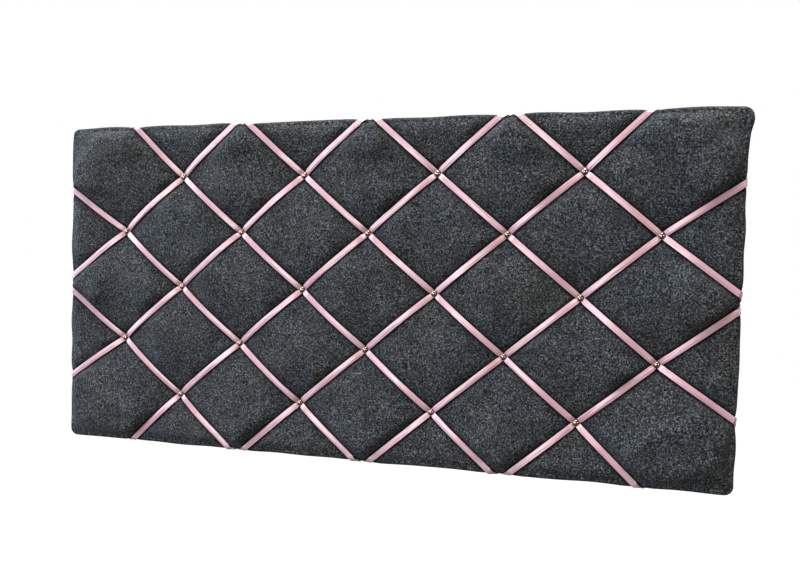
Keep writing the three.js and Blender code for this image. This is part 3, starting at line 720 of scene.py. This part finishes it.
def felt_cover():
    xs, zs = front_lines(step=0.0031, crowding=0.5)
    flat_x, flat_z = front_plan(xs, zs)
    points = [joined(flat_x, -felt_level(flat_x, flat_z), flat_z)]
    loop, plan, outward, room = border_loop(xs, zs)
    top = -points[0][loop, 1]
    front, side, back = edge_lengths(top)
    mitre = np.maximum(room - CORNER_RADIUS + FRONT_ROUND, 0) + MITRE_SHARE * (CORNER_RADIUS - BACK_ROUND)
    margin = np.minimum(FELT_MARGIN - BACK_ROUND, mitre)
    runs = [front * share for share in (0.14, 0.28, 0.42, 0.56, 0.7, 0.85, 1.0)]
    runs += [front + side * share for share in (0.33, 0.66, 1.0)]
    runs += [front + side + back * share for share in (0.33, 0.66, 1.0)]
    runs += [front + side + back + margin * share for share in (0.12, 0.4, 0.7, 1.0)]
    # Distance from the nearest ribbon, which the felt's material turns into painted shade and a painted
    # contact shadow beside the ribbons.
    beside = [from_ribbons(flat_x, flat_z)]
    for run in runs:
        points.append(edge_skin(plan, outward, top, run * np.ones(len(loop)))[0])
        past_tail = run > front + side + back + TAIL_LENGTH
        beside.append(np.where(past_tail, 1.0, from_ends(plan, outward, run)))
    faces, _ = skin_faces(len(xs), len(zs), loop, len(runs))
    cover = piece("felt_sheet", mesh_of("felt_sheet", np.concatenate(points), faces), grey_felt)
    point_layer(cover.data, "beside", "FLOAT", np.concatenate(beside))
    wall = cover.modifiers.new("thickness", "SOLIDIFY")
    wall.thickness = FELT_THICKNESS
    wall.offset = -1.0
    return smooth(settled(cover))


def wadding_pad():
    """The wadding, one small gap inside the felt, folded over the panel's front and sides."""
    gap, around, least, off_panel, depth_at_side = 0.0004, 0.0035, 0.0009, 0.0003, 0.0043
    inside = FELT_THICKNESS + gap
    xs, zs = front_lines(step=0.006, crowding=0.4)
    flat_x, flat_z = front_plan(xs, zs)
    near = [(0, 0)] + [(around * math.cos(a), around * math.sin(a)) for a in np.arange(8) * math.pi / 4]
    lowest = np.min([felt_level(flat_x + x, flat_z + z) for x, z in near], axis=0)
    level = np.maximum(lowest - inside, PANEL_FRONT + least)
    points = [joined(flat_x, -level, flat_z)]
    loop, plan, outward, _ = border_loop(xs, zs)
    top = level[loop] + inside
    front, side, _ = edge_lengths(top)
    for run in [front * share for share in (0.25, 0.5, 0.75, 1.0)] + [front + side]:
        skin, normal = edge_skin(plan, outward, top, run * np.ones(len(loop)))
        points.append(skin - normal * inside)
    rim = points[-1]
    inner = plan + outward * (FRONT_ROUND - depth_at_side)
    for depth in (-rim[:, 1], np.full(len(loop), PANEL_FRONT + off_panel)):
        points.append(joined(inner[:, 0], -depth, inner[:, 1]))
    faces, rings = skin_faces(len(xs), len(zs), loop, 7)
    faces.append(tuple(rings[-1]))
    return smooth(piece("wadding", mesh_of("wadding", np.concatenate(points), faces), white_wadding), 50)


def lathe(name, profile, sides):
    """A turned part about Z, from (radius, height) points that start and end on the axis, lowest first."""
    rings = profile[1:-1]
    points = [(0, 0, profile[0][1])]
    for radius, height in rings:
        for n in range(sides):
            angle = 2 * math.pi * n / sides
            points.append((radius * math.cos(angle), radius * math.sin(angle), height))
    points.append((0, 0, profile[-1][1]))
    faces = []
    for n in range(sides):
        m = (n + 1) % sides
        faces.append((0, 1 + m, 1 + n))
        faces.append((len(points) - 1, 1 + (len(rings) - 1) * sides + n, 1 + (len(rings) - 1) * sides + m))
        for ring in range(len(rings) - 1):
            low, high = 1 + ring * sides, 1 + (ring + 1) * sides
            faces.append((low + n, low + m, high + m, high + n))
    return mesh_of(name, points, faces)


# Geometry Nodes

def geometry_tree(name, inputs):
    tree = bpy.data.node_groups.new(name, "GeometryNodeTree")
    socket(tree, "Geometry", "INPUT", "Geometry")
    for label, kind in inputs.items():
        socket(tree, label, "INPUT", kind)
    socket(tree, "Geometry", "OUTPUT", "Geometry")
    return tree, put(tree, "NodeGroupInput").outputs


def grown(thing, tree, values):
    """The object as a tree of Geometry Nodes makes it, as plain mesh."""
    modifier = thing.modifiers.new(tree.name, "NODES")
    modifier.node_group = tree
    sockets = {item.name: item.identifier for item in tree.interface.items_tree if item.in_out == "INPUT"}
    for label, value in values.items():
        modifier[sockets[label]] = value
    return settled(thing)


def named(tree, name, kind):
    return put(tree, "GeometryNodeInputNamedAttribute", {"Name": name}, data_type=kind).outputs[0]


def captured(tree, geometry, kind, value):
    """Geometry that remembers a value of its points, and the value."""
    node = put(tree, "GeometryNodeCaptureAttribute", domain="POINT")
    node.capture_items.new(kind, "Kept")
    feed(tree, node, {0: geometry, 1: value})
    return node.outputs[0], node.outputs[1]


def give_out(tree, geometry, material):
    """Ends a tree with plain mesh in one material."""
    mesh = put(tree, "GeometryNodeRealizeInstances", {0: geometry}).outputs[0]
    finished = put(tree, "GeometryNodeSetMaterial", {"Geometry": mesh, "Material": material})
    put(tree, "NodeGroupOutput", {0: finished.outputs[0]})


# A section drawn along a route, whose points say which way is out.
along_route, given = geometry_tree("section_along_route", {"Section": "Object", "Finish": "Material"})
tree = along_route
curve = put(tree, "GeometryNodeMeshToCurve", {"Mesh": given["Geometry"]}).outputs[0]
values = {"Curve": curve, "Normal": named(tree, "out", "FLOAT_VECTOR")}
steered = put(tree, "GeometryNodeSetCurveNormal", values, mode="FREE").outputs[0]
run = put(tree, "GeometryNodeSplineParameter").outputs["Length"]
measured, length = captured(tree, steered, "FLOAT", run)
section = put(tree, "GeometryNodeObjectInfo", {"Object": given["Section"]}).outputs["Geometry"]
sided, place = captured(tree, section, "VECTOR", put(tree, "GeometryNodeInputPosition").outputs[0])
swept = put(tree, "GeometryNodeCurveToMesh", {
    "Curve": measured, "Profile Curve": sided, "Scale": named(tree, "width", "FLOAT"), "Fill Caps": True,
})
share = reckon(tree, "DIVIDE", parts(tree, place)["Y"], RIBBON_WIDTH / 2)
chart = put(tree, "ShaderNodeCombineXYZ", {"X": share, "Y": length})
charted = put(tree, "GeometryNodeStoreNamedAttribute", {
    "Geometry": swept.outputs[0], "Name": "UVMap", "Value": chart.outputs[0],
}, data_type="FLOAT2", domain="CORNER")
give_out(tree, charted.outputs[0], given["Finish"])

# A fixing at each mark, turned as the mark says, and set by hand: a little tilted.
at_marks, given = geometry_tree("fixings_at_marks", {
    "Fixing": "Object", "Tilt": "Float", "Seed": "Int", "Finish": "Material",
})
tree = at_marks
fixing = put(tree, "GeometryNodeObjectInfo", {"Object": given["Fixing"]})
lean = put(tree, "FunctionNodeRandomValue", {
    "Min": (-1, -1, -1), "Max": (1, 1, 1), "Seed": given["Seed"],
}, data_type="FLOAT_VECTOR")
tilt = put(tree, "ShaderNodeVectorMath", {0: lean.outputs[0], "Scale": given["Tilt"]}, operation="SCALE")
turns = [
    put(tree, "FunctionNodeEulerToRotation", {0: turn}).outputs[0]
    for turn in (named(tree, "turn", "FLOAT_VECTOR"), tilt.outputs[0])
]
values = {"Rotation": turns[0], "Rotate By": turns[1]}
turned = put(tree, "FunctionNodeRotateRotation", values, rotation_space="LOCAL")
set_out = put(tree, "GeometryNodeInstanceOnPoints", {
    "Points": given["Geometry"], "Instance": fixing.outputs["Geometry"], "Rotation": turned.outputs[0],
})
give_out(tree, set_out.outputs[0], given["Finish"])


def drawn_along(name, points, out, closed, section, material, width=None):
    count = len(points)
    edges = [(n, (n + 1) % count) for n in range(count if closed else count - 1)]
    mesh = mesh_of(name, points, edges=edges)
    point_layer(mesh, "out", "FLOAT_VECTOR", out)
    point_layer(mesh, "width", "FLOAT", np.ones(count) if width is None else width)
    return grown(piece(name, mesh), along_route, {"Section": section, "Finish": material})


def fixed_at(name, points, turns, fixing, tilt, seed, material):
    mesh = mesh_of(name, points)
    point_layer(mesh, "turn", "FLOAT_VECTOR", turns)
    values = {"Fixing": fixing, "Tilt": tilt, "Seed": seed, "Finish": material}
    return grown(piece(name, mesh), at_marks, values)


def section_curve(name, points):
    """A closed section: x is away from what the section lies on, y across it."""
    curve = bpy.data.curves.new(name, "CURVE")
    curve.dimensions = "3D"
    spline = curve.splines.new("POLY")
    spline.points.add(len(points) - 1)
    for point, (x, y) in zip(spline.points, points):
        point.co = (x, y, 0, 1)
    spline.use_cyclic_u = True
    return piece(name, curve)


# Ribbons in place

def ribbon_route(ribbon):
    """Points of the ribbon's middle line and the ways it faces, from one tail to the other."""
    points, out = [], []
    for front in ribbon.fronts:
        tangent = np.gradient(front["level"], front["run"])
        course = front["course"]
        normal = joined(-tangent * course[0], -np.ones(len(tangent)), -tangent * course[1])
        normal /= np.linalg.norm(normal, axis=1)[:, None]
        lift = np.full(len(tangent), SPAN_LIFT)
        for tacked, gone in (("from_tack", front["run"]), ("to_tack", front["length"] - front["run"])):
            if front[tacked]:
                aim, start, reach = TACK_LIFT[ribbon.slope], TACK_HOLD, TACK_REACH
            else:
                aim, start, reach = EDGE_LIFT[ribbon.slope], 0.0, EDGE_REACH
            lift += (aim - SPAN_LIFT) * (1 - ease((gone - start) / reach))
        raised = front["level"] + lift
        points.append(joined(front["middle"][:, 0], -raised, front["middle"][:, 1]))
        out.append(normal)
    tails = []
    for end in ribbon.ends:
        top = felt_level(*end["border"][:, None])
        front, side, back = (float(np.ravel(length)[0]) for length in edge_lengths(top))
        run = np.linspace(0, front + side + back + TAIL_LENGTH, 44)[1:]
        aside = end["border"] + run[:, None] * end["slant"] * end["along"]
        outward = np.repeat(end["outward"][None], len(run), axis=0)
        skin, normal = edge_skin(aside, outward, np.repeat(top, len(run)), run)
        edge_lift = EDGE_LIFT[ribbon.slope]
        lift = edge_lift + (TAIL_LIFT - edge_lift) * ease((run - front - side) / (2 * back))
        tails.append((skin + normal * lift[:, None], normal))
    first, last = tails
    points = np.concatenate([first[0][::-1], *points, last[0]])
    out = np.concatenate([first[1][::-1], *out, last[1]])
    ahead = np.gradient(points, axis=0)
    aside = np.cross(ahead / np.linalg.norm(ahead, axis=1)[:, None], out)
    gone = np.cumsum(np.linalg.norm(ahead, axis=1))
    roll = RIBBON_ROLL * wobble(0.7 * gone + 0.31 * ribbon.number + (1.3 if ribbon.slope == "rising" else 0))
    roll *= ease((-points[:, 1] - PANEL_FRONT) / ROLL_REACH)
    off = np.linalg.norm(points[:, None, ::2] - PIN_PLAN[None], axis=2).min(axis=1)
    off[points[:, 1] > -PANEL_FRONT] = np.inf
    width = GATHERED + (1 - GATHERED) * ease((off - TACK_HOLD) / GATHER_REACH)
    points = points + out * (np.abs(np.sin(roll)) * RIBBON_WIDTH / 2)[:, None]
    return points, out * np.cos(roll)[:, None] + aside * np.sin(roll)[:, None], width


across = np.linspace(-1, 1, 11)
crowned = RIBBON_CROWN * (1 - across ** 2)
thick = RIBBON_THICKNESS / 2 * np.where(np.abs(across) > SELVEDGE, 1.15, 0.85)
upper = [(c + t, s * RIBBON_WIDTH / 2) for s, c, t in zip(across, crowned, thick)]
lower = [(c - t, s * RIBBON_WIDTH / 2) for s, c, t in zip(across, crowned, thick)]
ribbon_section = section_curve("ribbon_section", upper + lower[::-1])

SWELLING = swelling()

ribbon_pieces = []
tail_marks, tail_turns = [], []
for ribbon in RIBBONS:
    route, facing, width = ribbon_route(ribbon)
    name = f"ribbon_{ribbon.slope}_{ribbon.number}"
    strip = drawn_along(f"satin_{name}", route, facing, False, ribbon_section, pink_satin, width)
    ribbon_pieces.append((smooth(strip, 45), name))
    for end, inner in ((route[0], route[TAIL_FIXED]), (route[-1], route[-1 - TAIL_FIXED])):
        tail_marks.append((inner[0], inner[1] + CROWN_STAND, inner[2]))
        tail_turns.append((-math.pi / 2, math.atan2(inner[0] - end[0], inner[2] - end[2]), 0))

felt = felt_cover()
wadding = wadding_pad()


# Tacks, staples, screws and rings

def middle_of(node):
    low, high = box_of(node)
    return (low + high) / 2


def tack_mesh():
    shank = RIM_LEVEL + box_of("tack_row1_col2")[1].y
    pin, point, root, hollow, dome, lip, edge = 0.0006, 0.0016, 0.0016, 0.0026, 0.0020, 0.0002, 0.00012
    profile = [(0, -shank), (pin, point - shank), (pin, root)]
    profile += [(hollow * math.sin(a), dome * math.cos(a)) for a in np.linspace(0.5, math.pi / 2, 5)]
    profile += [(TACK_RADIUS - lip, 0.0), (TACK_RADIUS, edge)]
    for angle in np.linspace(0.1, math.pi / 2, 12):
        profile.append((TACK_RADIUS * math.cos(angle), TACK_HEIGHT * math.sin(angle)))
    profile[-1] = (0, TACK_HEIGHT)
    return lathe("tack", profile, 28)


tack_names = [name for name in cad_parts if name.startswith("tack_")]
tack_places = []
for name in tack_names:
    at = middle_of(name)
    tack_places.append((at.x, -RIM_LEVEL, at.z))
tack = smooth(piece("tack", tack_mesh()), 40)
forwards = [(math.pi / 2, 0, 0)] * len(tack_places)
tacks = fixed_at("brass_tacks", tack_places, forwards, tack, 0.05, 3, tack_brass)
smooth(tacks, 40)


def staple_mesh():
    """A staple's crown and the tops of its legs: a flat wire bent twice."""
    half, wide, thick, deep, bend = 0.0052, 0.00055, 0.00045, 0.003, 0.0004
    leg = [(-half, -deep), (-half, -bend), (-half + bend, 0)]
    route = leg + [(-x, z) for x, z in reversed(leg)]
    inner = [(x * (1 - thick / half), min(z, 0) - (thick if abs(x) < half else 0)) for x, z in route]
    points, faces = [], []
    for (x, z), (ix, iz) in zip(route, inner):
        points += [(x, -wide, z), (x, wide, z), (ix, wide, iz), (ix, -wide, iz)]
    for n in range(len(route) - 1):
        for k in range(4):
            m = (k + 1) % 4
            faces.append((4 * n + k, 4 * n + m, 4 * n + 4 + m, 4 * n + 4 + k))
    last = 4 * (len(route) - 1)
    faces += [(3, 2, 1, 0), (last, last + 1, last + 2, last + 3)]
    return mesh_of("staple", points, faces)


def staple_rows(half_x, half_z, inset, spacing, level):
    """Staples in a row inside each side of a rectangle, but not where something else is fixed."""
    half_x, half_z = half_x - inset, half_z - inset
    marks, turns = [], []
    for half, other, upright in ((half_x, half_z, False), (half_z, half_x, True)):
        count = int(2 * half / spacing)
        for place in np.linspace(-half + spacing / 2, half - spacing / 2, count):
            for side in (-1, 1):
                x, z = (side * other, place) if upright else (place, side * other)
                if all(math.hypot(x - cx, z - cz) > STAPLE_ROOM for cx, cz in taken):
                    marks.append((x, -level, z))
                    turns.append((-math.pi / 2, math.pi / 2 if upright else 0.0, 0))
    return marks, turns


STAPLE_ROOM = 0.017  # from a row's staple to any other fixing, at least
STAPLE_BED = 0.0003  # by which a staple's crown beds into what it holds
FELT_STAPLES = {"inset": 0.030, "spacing": 0.062}
CARD_STAPLES = {"inset": 0.009, "spacing": 0.094}
HANGER_RISE = 0.01  # from a hanger's screw up to the middle of the place it takes
hanger_plan = [middle_of(f"hanger_screw_{side}") for side in ("left", "right")]
taken = [(mark[0], mark[2]) for mark in tail_marks] + [(at.x, at.z + HANGER_RISE) for at in hanger_plan]
felt_marks, felt_turns = staple_rows(HALF_WIDTH, HALF_HEIGHT, level=FELT_BACK - STAPLE_BED, **FELT_STAPLES)
card_high = box_of("backing_card")[1]
card_marks, card_turns = staple_rows(card_high.x, card_high.z, level=-STAPLE_BED, **CARD_STAPLES)
staple = piece("staple", staple_mesh())
marks, turns = tail_marks + felt_marks + card_marks, tail_turns + felt_turns + card_turns
staples = fixed_at("staples", marks, turns, staple, 0.06, 5, zinc_steel)


SCREW_HEAD = 0.002


def screw_mesh():
    """A pan-head screw with a thread and a cross recess."""
    low, high = box_of("hanger_screw_left")
    radius, height, shank = (high.x - low.x) / 2, SCREW_HEAD, high.y - low.y - SCREW_HEAD
    tip, taper, stem, lead, thread = 0.0004, 0.00025, 0.0011, 0.00105, 0.0003
    profile = [(0, -shank), (tip, -shank + 0.0006)]
    for turn in range(7):
        depth = -shank + 0.0012 + turn * lead
        core = min(stem, tip + turn * taper)
        profile += [(core, depth), (core + thread, depth + 0.0004), (core, depth + 0.0008)]
    profile += [(stem, -0.0003), (stem, 0.0), (radius - 0.0001, 0.0), (radius, 0.0002)]
    profile += [(radius * math.cos(a) ** 0.7, height * math.sin(a) ** 0.8) for a in np.linspace(0.25, 1.5, 8)]
    profile.append((0, height))
    head = piece("screw_blank", lathe("screw_blank", profile, 32))
    tools = []
    for turn in (0, math.pi / 2):
        wide, long, deep = 0.00042, 0.0019, 0.0011
        corners = [(x * share, y * share, z) for z, share in ((height + 0.001, 1.0), (height - deep, 0.55))
                   for x, y in ((-long, -wide), (long, -wide), (long, wide), (-long, wide))]
        faces = [(0, 1, 2, 3), (7, 6, 5, 4), (0, 4, 5, 1), (1, 5, 6, 2), (2, 6, 7, 3), (3, 7, 4, 0)]
        tool = piece("recess", mesh_of("recess", corners, faces))
        tool.data.transform(Matrix.Rotation(turn, 4, "Z"))
        cut = head.modifiers.new("recess", "BOOLEAN")
        cut.operation = "DIFFERENCE"
        cut.object = tool
        tools.append(tool)
    settled(head)
    for tool in tools:
        bpy.data.objects.remove(tool)
    return head


screw = smooth(screw_mesh(), 35)
screw_places = [(at.x, box_of("hanger_screw_left")[1].y - SCREW_HEAD, at.z) for at in hanger_plan]
screw_turns = [(-math.pi / 2, 0.5, 0), (-math.pi / 2, 1.9, 0)]
screws = fixed_at("hanger_screws", screw_places, screw_turns, screw, 0.02, 8, zinc_steel)

WIRE_RADIUS = 0.0012
RING_HALF_WIDTH = 0.0075
RING_REACH = 0.013
RING_CORNER = 0.0025
RING_LEAN = math.radians(5)
BAR_LEVEL = 0.00105
BAR_HEIGHT = HALF_HEIGHT - 0.0195


def ring_route(x):
    """The D of the ring's wire: a bar, two corners and a bow, hanging from the bar and leaning out."""
    flat = []
    corner = RING_HALF_WIDTH - RING_CORNER
    for middle, depth, radius, start, stop, steps in (
        (corner, -RING_CORNER, RING_CORNER, 90, 0, 7),
        (0, RING_HALF_WIDTH - RING_REACH, RING_HALF_WIDTH, 0, -180, 24),
        (-corner, -RING_CORNER, RING_CORNER, 180, 90, 7),
    ):
        for angle in np.radians(np.linspace(start, stop, steps + 1)):
            flat.append((middle + radius * math.cos(angle), depth + radius * math.sin(angle)))
    return [(x + along, BAR_LEVEL - down * math.sin(RING_LEAN), BAR_HEIGHT + down * math.cos(RING_LEAN))
            for along, down in flat]


round_wire = section_curve("round_wire", [
    (WIRE_RADIUS * math.cos(a), WIRE_RADIUS * math.sin(a)) for a in np.linspace(0, 2 * math.pi, 17)[:-1]
])
rings = []
for side, at in zip(("left", "right"), hanger_plan):
    route = ring_route(at.x)
    facing = [(0, math.cos(RING_LEAN), math.sin(RING_LEAN))] * len(route)
    ring = drawn_along(f"wire_ring_{side}", route, facing, True, round_wire, zinc_steel)
    rings.append((side, smooth(ring)))

for helper in (ribbon_section, round_wire, tack, staple, screw):
    bpy.data.objects.remove(helper)


# Finishes of the CAD solids that stay

for node, material in (
    ("fibreboard_panel", raw_fibreboard), ("backing_card", grey_card),
    ("hanger_strap_left", zinc_steel), ("hanger_strap_right", zinc_steel),
):
    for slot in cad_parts[node].material_slots:
        slot.material = material


# What each piece stands for and moves with

def belongs(thing, body, slot, *nodes):
    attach(thing, body)
    if nodes:
        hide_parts(*nodes)


belongs(felt, "board", "grey_felt", "felt_cover")
belongs(wadding, "board", "wadding", "wadding_pad")
for strip, node in ribbon_pieces:
    belongs(strip, "board", "pink_satin", node)
belongs(tacks, "board", "tack_brass", *tack_names)
belongs(staples, "board", "zinc_steel")
belongs(screws, "board", "zinc_steel", "hanger_screw_left", "hanger_screw_right")
for side, ring in rings:
    belongs(ring, f"ring_{side}", "zinc_steel", f"hanger_ring_{side}")


# Floor and light

def ray_kinds(tree):
    """Whether a ray comes straight from the camera, and whether a surface mirrors it."""
    path = put(tree, "ShaderNodeLightPath").outputs
    return reckon(tree, "MAXIMUM", path["Is Camera Ray"], path["Is Transmission Ray"]), path["Is Glossy Ray"]


FLOOR_HALF, FLOOR_LEVEL = 6, -0.8
corners = [(x * FLOOR_HALF, y * FLOOR_HALF, FLOOR_LEVEL) for x, y in ((-1, -1), (1, -1), (1, 1), (-1, 1))]
floor = piece("floor", mesh_of("floor", corners, [(0, 1, 2, 3)]))
pale_floor, tree, shader = finish("pale_floor")
floor.data.materials.append(pale_floor)
pale = graded(tree, noise(tree, object_place(tree), 3.0, 3.0), [
    (0.3, (0.05, 0.05, 0.05)), (0.7, (0.06, 0.06, 0.06)),
])
feed(tree, shader, {"Base Color": pale, "Roughness": 0.9})
straight, glossy = ray_kinds(tree)
away = put(tree, "ShaderNodeVectorMath", {0: object_place(tree)}, operation="LENGTH")
bright = reckon(tree, "MULTIPLY", straight, spread(tree, away.outputs["Value"], 1.1, 2.2, 0.78, 1.0))
rearward = spread(tree, parts(tree, object_place(tree))["Y"], 0.3, 2.5)
mirrored = reckon(tree, "MULTIPLY", glossy, rearward)
glow = put(tree, "ShaderNodeEmission", {
    "Color": (1, 1, 1, 1), "Strength": reckon(tree, "MAXIMUM", bright, mirrored),
})
both = put(tree, "ShaderNodeAddShader", {0: shader.outputs[0], 1: glow.outputs[0]})
feed(tree, tree.nodes["Material Output"], {"Surface": both.outputs[0]})

world = bpy.data.worlds.new("studio")
bpy.context.scene.world = world
world.use_nodes = True
tree = world.node_tree
tree.nodes.clear()
straight, glossy = ray_kinds(tree)
way = parts(tree, put(tree, "ShaderNodeTexCoord").outputs["Generated"])
behind = spread(tree, way["Y"], 0.0, 0.5, 0.12, 1.0)
mirrored = reckon(tree, "MULTIPLY", glossy, behind)
room = put(tree, "ShaderNodeBackground", {"Color": (0.96, 0.98, 1.0, 1), "Strength": 0.022})
white = put(tree, "ShaderNodeBackground", {
    "Color": (1, 1, 1, 1), "Strength": reckon(tree, "MAXIMUM", straight, mirrored),
})
seen = reckon(tree, "MAXIMUM", straight, glossy)
sky = put(tree, "ShaderNodeMixShader", {0: seen, 1: room.outputs[0], 2: white.outputs[0]})
put(tree, "ShaderNodeOutputWorld", {"Surface": sky.outputs[0]})


def soft_lamp(name, place, size, power, colour):
    """A round lamp that faces the origin."""
    lamp = bpy.data.lights.new(name, "AREA")
    lamp.shape = "DISK"
    lamp.size, lamp.energy, lamp.color = size, power, colour
    lit = bpy.data.objects.new(name, lamp)
    bpy.context.collection.objects.link(lit)
    lit.location = place
    lit.rotation_euler = (-Vector(place)).to_track_quat("-Z", "Y").to_euler()


soft_lamp("window_left", (-3.5, -0.85, 1.4), 4.2, 235, (0.73, 0.85, 1.0))
soft_lamp("skylight", (0.0, -0.78, 3.1), 2.4, 165, (1.0, 0.99, 0.97))
soft_lamp("fill_right", (2.6, -2.6, 0.45), 1.3, 20, (1.0, 0.88, 0.74))
soft_lamp("window_front", (-0.58, -2.3, 0.05), 1.1, 17, (1.0, 0.99, 0.98))
soft_lamp("behind", (0.4, 1.6, 0.9), 1.0, 20, (1.0, 0.98, 0.95))
